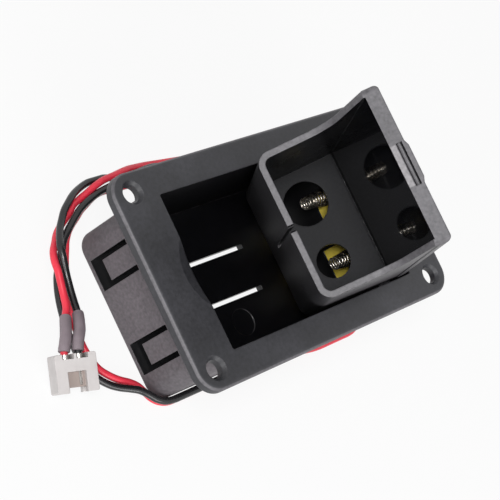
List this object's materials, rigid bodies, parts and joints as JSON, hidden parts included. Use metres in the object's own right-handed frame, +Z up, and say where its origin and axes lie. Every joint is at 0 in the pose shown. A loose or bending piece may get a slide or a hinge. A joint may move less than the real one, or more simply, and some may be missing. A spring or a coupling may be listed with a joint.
{
  "type": "battery holder box",
  "caption": "Flip-out panel-mount box for a nine volt block battery: flanged recess, hinged tray with lid, coil contacts, and a red and black lead with a white connector.",
  "frame": {"origin": "middle of the flange outline, at the bottom of the box", "axes": "+X along the long side toward the pivot and contact end, +Y across, +Z up out of the panel"},
  "size_m": [0.0884, 0.0483, 0.0613],
  "materials": {
    "black_plastic": "satin moulded",
    "spring_steel": "bright drawn wire",
    "brass": "stamped sheet",
    "solder": "solder",
    "red_insulation": "satin",
    "black_insulation": "satin",
    "sleeve_grey": "matte shrink sleeve",
    "white_nylon": "moulded",
    "tinned_contact": "tinned"
  },
  "bodies": {
    "box": {"housing": "black_plastic", "contact_spring_positive": "spring_steel", "contact_spring_negative": "spring_steel", "contact_plate_positive": "brass", "contact_plate_negative": "brass", "solder_joint_positive": "solder", "solder_joint_negative": "solder", "red_wire": "red_insulation", "black_wire": "black_insulation", "sleeve_red": "sleeve_grey", "sleeve_black": "sleeve_grey", "connector_shell": "white_nylon", "connector_terminal_red": "tinned_contact", "connector_terminal_black": "tinned_contact"},
    "tray": {"tray": "black_plastic"}
  },
  "joints": [
    {"name": "tray_hinge", "type": "hinge", "parent": "box", "child": "tray", "pos_m": [0.0232, 0, 0.0197], "axis": [0, 1, 0], "range_deg": [-52, 0]}
  ]
}
